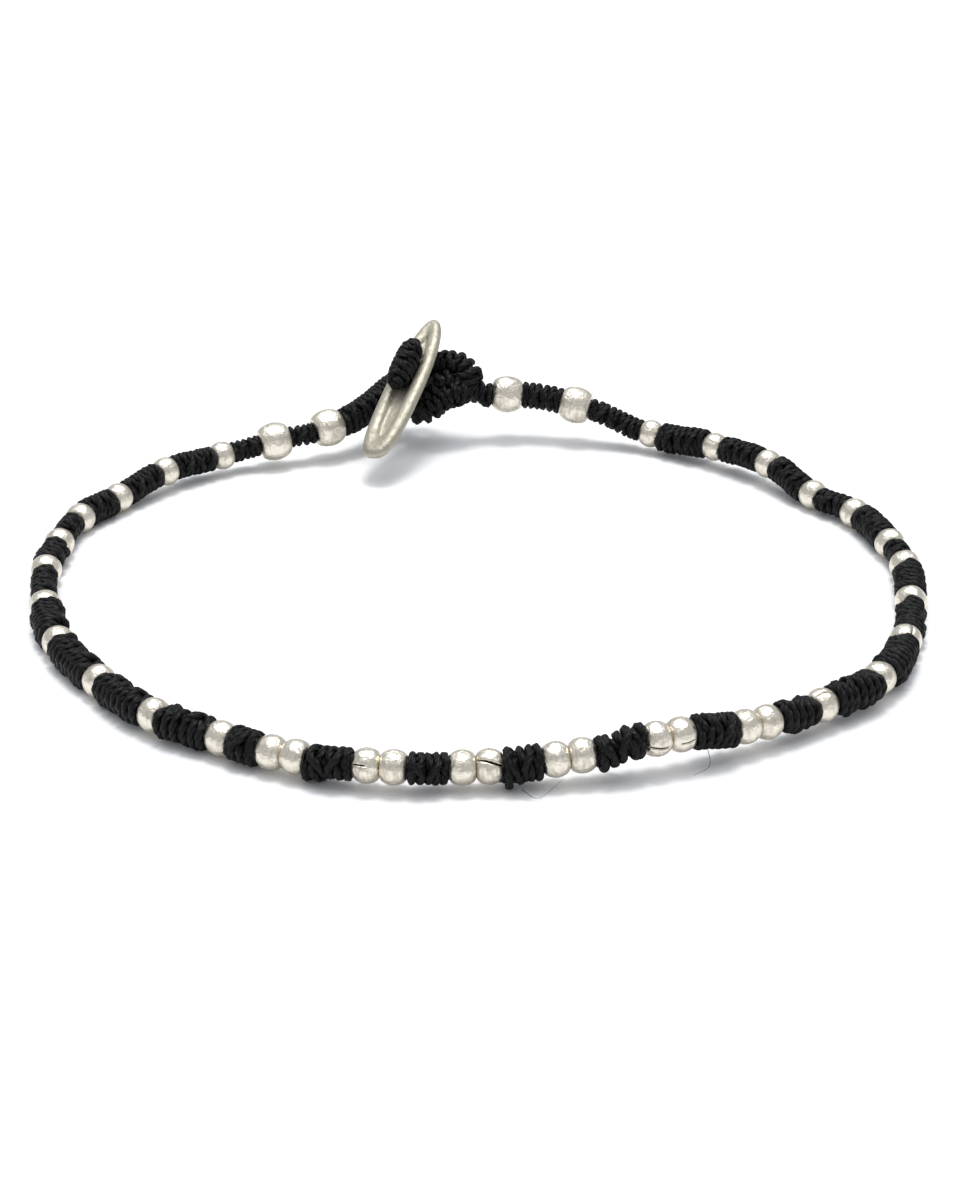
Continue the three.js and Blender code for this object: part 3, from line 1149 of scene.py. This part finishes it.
@dataclass
class KnottedStrand:
    """The knotted sections between the beads, and the core thread that the beads are strung on.

    widths and pairs follow the loop from the eye to the button: the width of the section after each
    single bead or pair, and which of them are pairs. The heavy sections, at the sides of the loop, are
    tied in the coarse cord with their ridges rolled over, and the lumpy one in the loose cord. Ridges
    look ridge_way, give or take ridge_play, and roll turns the heavy ones on, both in radians. The last
    section reaches left_end by left_way. The thread's path has core_detail places for each of its points.
    """

    widths: tuple = (
        2.1, 1.8, 2.3, 2.05, 2.05, 1.8, 2.1, 1.75, 2.15, 1.9, 2.2, 2.2, 2.0, 2.2, 2.0, 2.2,
        1.95, 2.0, 2.2, 2.2, 2.15, 2.2, 2.2, 1.8, 1.95, 1.75, 2.1, 1.95, 1.95, 1.65, 1.65, 2.3,
    )  # fmt: skip
    pairs: tuple = (13, 14, 15, 16, 17, 18)
    heavy: tuple = (8, 9, 10, 11, 12, 19, 20, 21, 22, 23, 24)
    lumpy: int = 14
    fine: Hitch = Hitch(0.25, 0.48)
    coarse: Hitch = Hitch(0.285, 0.57, 0.4)
    loose: Hitch = Hitch(0.295, 0.6)
    lumps: dict = field(
        default_factory=lambda: {
            14: ((0.2, 0.22), (0.86, -0.2)),
            15: ((0.88, -0.3),),
            17: ((0.86, -0.32),),
        }
    )
    ridge_way: tuple = (0.0, -0.92, 0.39)
    ridge_play: tuple = (-0.35, 0.2)
    roll: float = 1.2
    stem_length: float = 1.57
    stem_width: float = 1.9
    stem_turn: float = 0.6
    stem_steps: int = 6
    left_end: tuple = (-5.2, 29.7, 4.15)
    left_way: tuple = (1.6, 1.3, 0.25)
    core_radius: float = 0.36
    core_detail: int = 3
    seed: int = 5
    section_seed: int = 20
    stem_seed: int = 90

    def sections(self, beads: list[Bead]) -> list[Section]:
        """Returns the sections that follow each single bead or pair.

        Args:
            beads: The beads in order round the loop.

        Returns:
            The sections, the last of which ends behind the button.
        """
        found = []
        at = 0
        for row, width in enumerate(self.widths):
            at += 2 if row in self.pairs else 1
            bead = beads[at - 1]
            if at < len(beads):
                end, reach = beads[at].face(-1), beads[at].direction
            else:
                end, reach = in_frame(self.left_end)[0], Vector(self.left_way).normalized()
            found.append(Section(bead.face(1), bead.direction, end, reach, width, self.lumps.get(row, ())))
        return found

    def _tie_sections(self, beads: list[Bead], hitched: HitchedCord) -> None:
        """Makes and dresses the sections.

        Args:
            beads: The beads in order round the loop.
            hitched: The tree that ties them.
        """
        rng = np.random.default_rng(self.seed)
        for i, section in enumerate(self.sections(beads)):
            points, radii = section.axis()
            turn = section.facing(Vector(self.ridge_way)) + rng.uniform(*self.ridge_play)
            hitch = self.loose if i == self.lumpy else self.fine
            if i in self.heavy:
                hitch = self.coarse
                turn += self.roll
            piece = hitched.tie(f"knots_{i + 1:02d}", points, radii, turn, self.section_seed + i, hitch)
            dress(piece, Slot.CORD, "knotted_cord")

    def _tie_stem(self, first: Bead, hitched: HitchedCord) -> Vector:
        """Makes and dresses the stem between the first bead and the eye.

        Args:
            first: The bead.
            hitched: The tree that ties it.

        Returns:
            The stem's far end.
        """
        step = self.stem_length / self.stem_steps
        stem = [first.face(-1) - first.direction * (step * i) for i in range(self.stem_steps + 1)]
        radii = [self.stem_width / 2] * len(stem)
        piece = hitched.tie("eye_stem", stem, radii, self.stem_turn, self.stem_seed)
        dress(piece, Slot.CORD, "knotted_cord", "closing_eye")
        return stem[-1]

    def _lay_core(self, start: Vector, beads: list[Bead], plain: PlainCord) -> None:
        """Makes and dresses the core thread, from the eye through every bead to behind the button.

        Args:
            start: The thread's end at the eye.
            beads: The beads in order round the loop.
            plain: The tree that lays it.
        """
        path = [start]
        for bead in beads:
            path += [bead.face(-1), bead.centre, bead.face(1)]
        path += in_frame(self.left_end)
        smooth = smooth_path(path, self.core_detail * len(path))
        thread = plain.lay("core_thread", smooth, [self.core_radius] * len(smooth))
        dress(thread, Slot.CORD, "knotted_cord")

    def build(self, beads: list[Bead], hitched: HitchedCord, plain: PlainCord) -> None:
        """Makes and dresses the sections, the stem of the eye and the core thread.

        Args:
            beads: The beads in order round the loop.
            hitched: The tree that ties the sections and the stem.
            plain: The tree that lays the thread.
        """
        self._tie_sections(beads, hitched)
        start = self._tie_stem(beads[0], hitched)
        self._lay_core(start, beads, plain)


# ---- The clasp ----


@dataclass
class ClosingEye:
    """The eye at the end of the right strand: two hitched legs that meet round the button's neck.

    Each part's turn is where its ridge starts, in radians. A leg thins to end_share of its radius over
    its first and last few steps, as many as narrow says.
    """

    radius: float = 0.97
    upper: tuple = (
        (-0.65, 27.0, 4.1), (-0.72, 27.2, 5.35), (-1.35, 27.7, 5.95),
        (-3.0, 28.25, 5.75), (-4.3, 27.9, 5.0), (-4.9, 27.0, 3.8),
    )  # fmt: skip
    upper_turn: float = 0.4
    lower: tuple = (
        (-0.65, 26.9, 3.8), (-1.6, 26.3, 4.15), (-2.7, 25.95, 3.65),
        (-3.8, 25.5, 2.95), (-4.6, 25.8, 2.8), (-4.9, 27.0, 3.8),
    )  # fmt: skip
    lower_turn: float = 3.0
    leg_hitch: Hitch = Hitch(drift=0.3)
    leg_steps: int = 40
    leg_seed: int = 60
    narrow: int = 5
    end_share: float = 0.75
    throat: tuple = (
        (-0.6, 27.0, 4.0), (-1.5, 27.0, 4.5), (-2.4, 26.85, 4.85),
        (-3.5, 26.5, 4.3), (-4.4, 26.3, 3.6),
    )  # fmt: skip
    throat_radius: float = 0.98
    throat_turn: float = 1.0
    throat_steps: int = 24
    throat_seed: int = 55

    def _tie_leg(self, name: str, route: tuple, turn: float, hitched: HitchedCord) -> None:
        """Makes and dresses one leg.

        Args:
            name: The piece's name.
            route: The leg's route round the neck.
            turn: Where its ridge starts, in radians.
            hitched: The tree that ties it.
        """
        last = self.leg_steps
        points = smooth_path(in_frame(*route), last + 1)
        fuller = (1 - self.end_share) / self.narrow
        shares = [min(1.0, self.end_share + fuller * min(i, last - i)) for i in range(last + 1)]
        radii = [self.radius * share for share in shares]
        leg = hitched.tie(name, points, radii, turn, self.leg_seed, self.leg_hitch)
        dress(leg, Slot.CORD, "closing_eye")

    def build(self, hitched: HitchedCord) -> None:
        """Makes and dresses the two legs and the throat between them.

        Args:
            hitched: The tree that ties them.
        """
        points = smooth_path(in_frame(*self.throat), self.throat_steps + 1)
        radii = [self.throat_radius] * len(points)
        throat = hitched.tie("eye_throat", points, radii, self.throat_turn, self.throat_seed)
        dress(throat, Slot.CORD, "closing_eye")
        self._tie_leg("eye_upper_leg", self.upper, self.upper_turn, hitched)
        self._tie_leg("eye_lower_leg", self.lower, self.lower_turn, hitched)


@dataclass
class ToggleButton:
    """The slim oval button: a narrow dish in a broad rounded rim, and two holes.

    Its section runs from the middle of its back to the middle of its dish. The points of shell, its
    back, edge and rim, are (inset, height), those of lip (inset, height, tip) and those of dish (inset,
    rise, tip). Insets and rises over the dish's floor are in millimetres, and heights are parts of half
    the thickness. tip is how much of tip_width, the rim's extra width at both tips, is drawn in. The
    outline is an ellipse at a bluntness of 2 and blunter above it. long points along the button to its
    upper tip, and face out of its dish. holes are how far along it the two holes are.
    """

    length: float = 14.5
    width: float = 3.35
    thickness: float = 1.05
    tip_width: float = 1.0
    recess: float = 0.45
    shell: tuple = (
        (1.62, -1.0), (1.3, -1.0), (0.95, -0.97), (0.62, -0.88), (0.38, -0.72),
        (0.2, -0.5), (0.08, -0.22), (0.02, 0.0), (0.0, 0.2), (0.04, 0.5),
        (0.12, 0.72), (0.24, 0.88), (0.4, 0.97), (0.56, 1.0), (0.72, 0.98),
    )  # fmt: skip
    lip: tuple = ((0.85, 0.92, 0.3), (0.95, 0.82, 0.6), (1.02, 0.66, 0.8), (1.08, 0.46, 0.9))
    dish: tuple = (
        (1.14, 0.08, 0.96), (1.2, 0.03, 1.0), (1.28, 0.01, 1.0),
        (1.36, 0.0, 1.0), (1.48, 0.0, 1.0), (1.6, 0.0, 1.0),
    )  # fmt: skip
    lower_bluntness: float = 3.0
    upper_bluntness: float = 2.0
    centre: tuple = (-5.37, 23.87, 5.35)
    long: tuple = (4.46, 12.25, 6.4)
    face: tuple = (-0.392, -0.31, 0.866)
    sides: int = 112
    holes: tuple = (0.75, 2.35)
    hole_radius: float = 0.48
    hole_sides: int = 32
    drill_reach: float = 2.0
    sharp_angle: float = 50.0

    def matrix(self) -> Matrix:
        """Places the button.

        Returns:
            Its own axes in the frame, in millimetres: x along it, y across it, z out of its face.
        """
        long = Vector(self.long).normalized()
        across = Vector(self.face).cross(long).normalized()
        turned = Matrix((long, across, long.cross(across))).transposed().to_4x4()
        return Matrix.Translation(in_frame(self.centre)[0]) @ turned

    def spot(self, along: float, height: float) -> Vector:
        """Returns a point over the button's long axis, in the frame."""
        return self.matrix() @ Vector((along, 0.0, height))

    def ring(self, inset: float, height: float, tip: float) -> list[Vector]:
        """Returns a ring of the outline, blunt at its lower tip and finer at its upper one.

        Args:
            inset: How far it is drawn in all round.
            height: Its height over the button's middle.
            tip: How much of the extra width of the rim at both tips it is drawn in by, from 0 to 1.

        Returns:
            The ring's points in the button's own axes.
        """
        ring = []
        for k in range(self.sides):
            turn = 2 * math.pi * k / self.sides
            c, s = math.cos(turn), math.sin(turn)
            power = 2 / (self.upper_bluntness if c > 0 else self.lower_bluntness)
            along = math.copysign(abs(c) ** power, c)
            across = math.copysign(abs(s) ** power, s)
            x = (self.length / 2 - inset - self.tip_width * tip) * along
            ring.append(Vector((x, (self.width / 2 - inset) * across, height)))
        return ring

    def section(self) -> list[tuple[float, float, float]]:
        """Works out the button's section.

        Returns:
            Its points as (inset, height, tip), from the middle of the back to that of the dish.
        """
        half = self.thickness / 2
        floor = half - self.recess
        shell = [(inset, half * height, 0.0) for inset, height in self.shell]
        lip = [(inset, half * height, tip) for inset, height, tip in self.lip]
        return shell + lip + [(inset, floor + rise, tip) for inset, rise, tip in self.dish]

    def build(self, material: bpy.types.Material) -> None:
        """Makes and dresses the button.

        Args:
            material: Its finish.
        """
        place = self.matrix()
        rings = [self.ring(*spot) for spot in self.section()]
        points = [place @ p for ring in rings for p in ring]
        last = len(points) - self.sides
        faces = ring_faces(len(rings), self.sides)
        faces.append(list(range(self.sides))[::-1])
        faces.append(list(range(last, len(points))))
        button = mesh_object("oval_button", points, faces, material)
        for along in self.holes:
            self._drill(button, place, along, material)
        button.data.shade_smooth()
        button.data.set_sharp_from_angle(angle=math.radians(self.sharp_angle))
        dress(button, Slot.SILVER, "toggle_button")

    def _drill(
        self, button: bpy.types.Object, place: Matrix, along: float, material: bpy.types.Material
    ) -> None:
        """Cuts a hole through the button.

        Args:
            button: The button.
            place: Its own axes in the frame.
            along: The hole's place along it.
            material: The finish of the hole's wall.
        """
        sides = self.hole_sides
        ends = []
        for height in (-self.drill_reach, self.drill_reach):
            for k in range(sides):
                turn = 2 * math.pi * k / sides
                x = along + self.hole_radius * math.cos(turn)
                ends.append(place @ Vector((x, self.hole_radius * math.sin(turn), height)))
        faces = ring_faces(2, sides) + [list(range(sides))[::-1], list(range(sides, 2 * sides))]
        drill = mesh_object("drill", ends, faces, material)
        cut = button.modifiers.new("hole", "BOOLEAN")
        cut.object = drill
        cut.solver = "EXACT"
        mesh = plain_mesh(button)
        button.modifiers.clear()
        button.data = mesh
        bpy.data.objects.remove(drill)


@dataclass
class ButtonStitch:
    """The cord that holds the button: a hitched knot in its dish, two legs, and a neck through the eye.

    gap is how far the knot keeps off the button. The legs join in a bridge behind the button, whose
    middle is gap and bridge_depth behind its back, and dip behind its own ends. The knot's rounded ends
    thin to cap_share of its radius, and are shorter the higher cap_bluntness is.
    """

    knot_radius: float = 1.0
    knot_length: float = 4.7
    knot_place: float = 1.42
    knot_turn: float = 2.4
    knot_hitch: Hitch = Hitch(drift=0.25)
    knot_steps: int = 20
    knot_seed: int = 71
    cap_share: float = 0.62
    cap_bluntness: float = 4.0
    gap: float = 0.12
    leg_radius: float = 0.35
    leg_places: int = 41
    bridge_depth: float = 0.4
    dip: float = 0.3
    neck_radius: float = 0.41
    neck_places: int = 61
    neck: tuple = (
        (-3.55, 26.2, 5.05), (-3.25, 27.05, 4.5), (-3.1, 28.4, 4.0),
        (-3.7, 29.7, 4.0), (-4.5, 30.05, 4.05), (-5.1, 29.84, 4.03),
    )  # fmt: skip

    def _back(self, button: ToggleButton) -> float:
        """Returns the height of the bridge behind the button, over the button's middle."""
        return -button.thickness / 2 - self.gap - self.bridge_depth

    def _top(self, button: ToggleButton) -> float:
        """Returns the height of the knot's axis over the button's middle."""
        return button.thickness / 2 - button.recess + self.gap + self.knot_radius

    def _tie_knot(self, button: ToggleButton, hitched: HitchedCord) -> None:
        """Makes and dresses the knot in the button's dish.

        Args:
            button: The button.
            hitched: The tree that ties it.
        """
        start = self.knot_place - self.knot_length / 2
        spots = []
        radii = []
        for i in range(self.knot_steps + 1):
            share = i / self.knot_steps
            spots.append(button.spot(start + self.knot_length * share, self._top(button)))
            cap = (1 - abs(2 * share - 1) ** self.cap_bluntness) ** 0.5
            radii.append(self.knot_radius * max(self.cap_share, cap))
        knot = hitched.tie("stitch_knot", spots, radii, self.knot_turn, self.knot_seed, self.knot_hitch)
        dress(knot, Slot.CORD, "button_stitch")

    def _lay(self, name: str, spots: list[Vector], count: int, radius: float, plain: PlainCord) -> None:
        """Makes and dresses a length of plain cord.

        Args:
            name: The piece's name.
            spots: The points that it runs through.
            count: How many places its path has.
            radius: Its radius.
            plain: The tree that lays it.
        """
        path = smooth_path(spots, count)
        dress(plain.lay(name, path, [radius] * count), Slot.CORD, "button_stitch")

    def build(self, button: ToggleButton, hitched: HitchedCord, plain: PlainCord) -> None:
        """Makes and dresses the knot, the legs and the neck.

        Args:
            button: The button that it holds.
            hitched: The tree that ties the knot.
            plain: The tree that lays the legs and the neck.
        """
        self._tie_knot(button, hitched)
        low, high = button.holes
        top, back = self._top(button), self._back(button)
        ends = back + self.dip
        loop = ((low, top), (low, ends), ((low + high) / 2, back), (high, ends), (high, top))
        bridge = [button.spot(along, height) for along, height in loop]
        self._lay("stitch_legs", bridge, self.leg_places, self.leg_radius, plain)
        neck = [button.spot(low, back), *in_frame(*self.neck)]
        self._lay("stitch_neck", neck, self.neck_places, self.neck_radius, plain)


@dataclass
class StrayFibres:
    """Single hairs that stand off the knots.

    Each is its root and tip, round the loop's centre, and how far its middle bows out. It thins to
    tip_share of its radius.
    """

    radius: float = 0.022
    tip_share: float = 0.4
    steps: int = 12
    hairs: tuple = (
        ((2.55, -29.2, 0.6), (5.0, -27.4, 0.3), (-0.42, -1.15, -0.3)),
        ((13.2, -25.9, 1.4), (12.3, -27.0, 0.25), (0.5, -0.3, -0.1)),
        ((7.7, -27.6, 2.4), (7.3, -27.7, 3.1), (0.05, 0.0, 0.05)),
    )

    def build(self, plain: PlainCord) -> None:
        """Makes and dresses the hairs.

        Args:
            plain: The tree that lays them.
        """
        thinner = (1 - self.tip_share) / self.steps
        radii = [self.radius * (1 - thinner * k) for k in range(self.steps + 1)]
        for i, (root, tip, bow) in enumerate(self.hairs):
            start, end = in_frame(root, tip)
            path = smooth_path([start, (start + end) / 2 + Vector(bow), end], self.steps + 1)
            dress(plain.lay(f"stray_fibre_{i + 1:02d}", path, radii), Slot.CORD)


# ---- The studio ----


@dataclass(frozen=True)
class Lamp:
    """A round area light: how far off it hangs and its diameter, in metres, its power and its colour."""

    distance: float
    size: float
    power: float
    tint: tuple


@dataclass
class Studio:
    """A white sheet, a small key light, a broad overhead one, a pale room, and the camera.

    The camera is placed and aimed in millimetres, and its clip distances are in metres. The lights lean
    towards the back by tilt degrees. The floor reaches floor_half millimetres each way.
    """

    camera_place: tuple = (0.225, -148.624, 66.605)
    camera_aim: tuple = (0.225, -3.146, 0.0)
    lens: float = 72.78
    sensor: float = 36.0
    clip: tuple = (0.001, 50.0)
    tilt: float = 11.5
    key: Lamp = Lamp(0.7, 0.22, 2.1, (1.0, 0.985, 0.96))
    soft: Lamp = Lamp(0.6, 0.8, 2.55, (0.93, 0.96, 1.0))
    room: tuple = (0.56, 0.57, 0.59, 1.0)
    backdrop: tuple = (1.0, 1.0, 1.0, 1.0)
    floor_half: float = 3000.0

    def camera(self) -> None:
        """Makes the camera."""
        data = bpy.data.cameras.new("camera")
        data.lens = self.lens
        data.sensor_width = self.sensor
        data.sensor_fit = "AUTO"
        data.clip_start, data.clip_end = self.clip
        camera = linked("camera", data)
        place = Vector(self.camera_place) * MM
        aim = Vector(self.camera_aim) * MM
        camera.location = place
        camera.rotation_mode = "QUATERNION"
        camera.rotation_quaternion = (aim - place).to_track_quat("-Z", "Y")
        bpy.context.scene.camera = camera

    def hang(self, name: str, lamp: Lamp) -> None:
        """Hangs a light over the origin, leaning towards the back.

        Args:
            name: The light's name.
            lamp: The lamp.
        """
        data = bpy.data.lights.new(name, "AREA")
        data.shape = "DISK"
        data.size = lamp.size
        data.energy = lamp.power
        data.color = lamp.tint
        light = linked(name, data)
        lean = math.radians(self.tilt)
        light.location = (0.0, lamp.distance * math.sin(lean), lamp.distance * math.cos(lean))
        light.rotation_euler = (-lean, 0.0, 0.0)

    def paint_room(self) -> None:
        """Makes the room: white where the camera sees it, and the room's colour for everything else."""
        world = bpy.data.worlds.new("room")
        world.use_nodes = True
        tree = NodeTree(world.node_tree)
        lit = tree.add("ShaderNodeBackground", {"Color": self.room}).outputs[0]
        seen = tree.add("ShaderNodeBackground", {"Color": self.backdrop}).outputs[0]
        direct = tree.add("ShaderNodeLightPath").outputs["Is Camera Ray"]
        mix = tree.add("ShaderNodeMixShader", {0: direct, 1: lit, 2: seen})
        tree.add("ShaderNodeOutputWorld", {"Surface": mix.outputs[0]})
        bpy.context.scene.world = world

    def build(self) -> None:
        """Makes the floor, the room, the lights and the camera."""
        bpy.context.scene.view_settings.view_transform = "Standard"
        self.paint_room()
        corners = [Vector((x, y, 0.0)) * self.floor_half for x, y in ((-1, -1), (1, -1), (1, 1), (-1, 1))]
        mesh_object("floor", corners, [[0, 1, 2, 3]], PaleFloor().build())
        self.hang("key_light", self.key)
        self.hang("soft_light", self.soft)
        self.camera()
        LOG.info("studio: floor, two lights, room and camera")


def main() -> None:
    """Builds the dressed bracelet and its studio."""
    logging.basicConfig(level=logging.INFO, format="%(name)s: %(message)s")
    satin_silver = SatinSilver("satin_silver").build()
    # The button's silver: rougher than the beads', and its tint darker than theirs as painted shade.
    shaded_soft_silver = SatinSilver(
        "shaded_soft_silver",
        tint=(0.45, 0.425, 0.35, 1.0),
        dull=(0.37, 0.345, 0.28, 1.0),
        roughness=(0.52, 0.66),
        dent_noise=(700.0, 1.0),
    ).build()
    cord = WaxedCord().build()
    hitched = HitchedCord(cord)
    plain = PlainCord(cord)
    maker = SilverBeads()
    beads = maker.string()
    maker.build(beads, satin_silver)
    KnottedStrand().build(beads, hitched, plain)
    ClosingEye().build(hitched)
    button = ToggleButton()
    button.build(shaded_soft_silver)
    ButtonStitch().build(button, hitched, plain)
    StrayFibres().build(plain)
    Studio().build()


if __name__ == "__main__":
    main()
